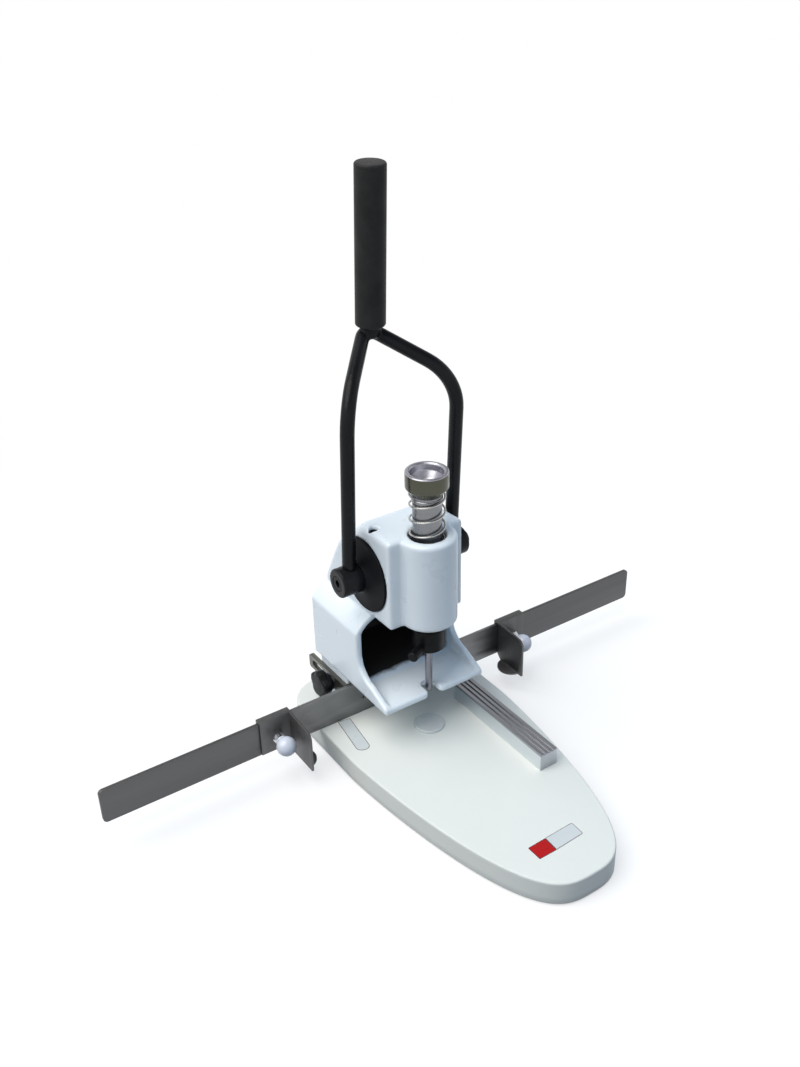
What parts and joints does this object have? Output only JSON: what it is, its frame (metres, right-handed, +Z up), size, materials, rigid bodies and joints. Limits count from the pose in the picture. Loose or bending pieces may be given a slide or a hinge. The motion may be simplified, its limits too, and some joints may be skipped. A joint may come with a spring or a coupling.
{
  "type": "single hole punch press",
  "caption": "Bench single hole punch: cast C-frame on a long oval base, yoke lever turning a rack and pinion, sprung hollow spindle, sliding back stop and side stops.",
  "frame": {"origin": "the punch axis on the table, under the feet", "axes": "+Z up along the punch axis, +Y to the machine's rear, +X to the operator's right; the middle plane is X = 0"},
  "size_m": [0.58, 0.3415, 0.5095],
  "materials": {
    "base_paint": "semi-gloss off-white paint on cast iron",
    "enamel": "gloss cool white enamel on cast iron",
    "black_paint": "satin black paint on steel",
    "black_oxide": "blackened steel",
    "steel": "ground steel",
    "dark_steel": "dark brushed steel",
    "zinc": "yellowish zinc plating",
    "aluminium": "brushed aluminium",
    "bronze": "turned bronze",
    "rubber": "matt black rubber",
    "grip_rubber": "smooth black grip",
    "black_plastic": "glossy black plastic",
    "white_plastic": "glossy white plastic",
    "nylon": "matt white nylon"
  },
  "bodies": {
    "frame": {"base_plate": "base_paint", "rubber_feet": "rubber", "foot_screws": "steel", "cutting_pad": "nylon", "side_fence": "aluminium", "fence_screws": "steel", "frame_casting": "enamel", "frame_bolts": "steel", "upper_guide_bush": "bronze", "lower_guide_bush": "bronze", "left_bearing_cap": "black_paint", "right_bearing_cap": "black_paint", "left_shaft_bush": "bronze", "right_shaft_bush": "bronze", "cap_lock_screws": "black_oxide", "return_spring": "steel", "right_guide_screw": "steel"},
    "handle": {"cross_shaft": "steel", "pinion": "steel", "shaft_keys": "steel", "left_hub": "black_paint", "right_hub": "black_paint", "left_hub_screw": "black_oxide", "right_hub_screw": "black_oxide", "yoke": "black_paint", "grip_core": "black_paint", "hand_grip": "grip_rubber", "grip_cap": "grip_rubber"},
    "spindle": {"spindle": "steel", "spindle_cup": "steel", "chuck": "black_oxide", "punch": "steel", "punch_screw": "black_oxide"},
    "back_stop": {"back_stop_bar": "dark_steel", "left_slide_bar": "zinc", "right_slide_bar": "zinc", "back_stop_screws": "steel"},
    "clamp": {"clamp_knob": "black_plastic", "clamp_stud": "steel", "clamp_washer": "steel"},
    "left_stop": {"left_side_stop": "dark_steel", "left_stop_nut": "steel"},
    "right_stop": {"right_side_stop": "dark_steel", "right_stop_nut": "steel"},
    "left_stop_clamp": {"left_ball_knob": "white_plastic", "left_clamp_screw": "steel"},
    "right_stop_clamp": {"right_ball_knob": "white_plastic", "right_clamp_screw": "steel"}
  },
  "joints": [
    {"name": "handle_turn", "type": "hinge", "parent": "frame", "child": "handle", "pos_m": [0, 0.04, 0.1778], "axis": [1, 0, 0], "range_deg": [0, 70]},
    {"name": "spindle_slide", "type": "slide", "parent": "frame", "child": "spindle", "axis": [0, 0, -1], "range_m": [0, 0.0367], "stiffness_N_per_m": 1040, "springref_m": -0.029, "deforming": ["return_spring"]},
    {"name": "back_stop_slide", "type": "slide", "parent": "frame", "child": "back_stop", "axis": [0, 1, 0], "range_m": [-0.03, 0.003]},
    {"name": "clamp_turn", "type": "hinge", "parent": "frame", "child": "clamp", "pos_m": [-0.0675, 0.0817, 0.0462], "axis": [-1, 0, 0], "range_deg": [0, 360]},
    {"name": "left_stop_slide", "type": "slide", "parent": "back_stop", "child": "left_stop", "axis": [-1, 0, 0], "range_m": [-0.013, 0.14]},
    {"name": "right_stop_slide", "type": "slide", "parent": "back_stop", "child": "right_stop", "axis": [1, 0, 0], "range_m": [-0.018, 0.135]},
    {"name": "left_clamp_turn", "type": "hinge", "parent": "left_stop", "child": "left_stop_clamp", "pos_m": [-0.1295, 0.0306, 0.0406], "axis": [0, -1, 0], "range_deg": [0, 360]},
    {"name": "right_clamp_turn", "type": "hinge", "parent": "right_stop", "child": "right_stop_clamp", "pos_m": [0.1332, 0.0306, 0.0406], "axis": [0, -1, 0], "range_deg": [0, 360]}
  ],
  "couplings": [
    {"joint": "spindle_slide", "follows": "handle_turn", "m_per_rad": 0.03}
  ]
}
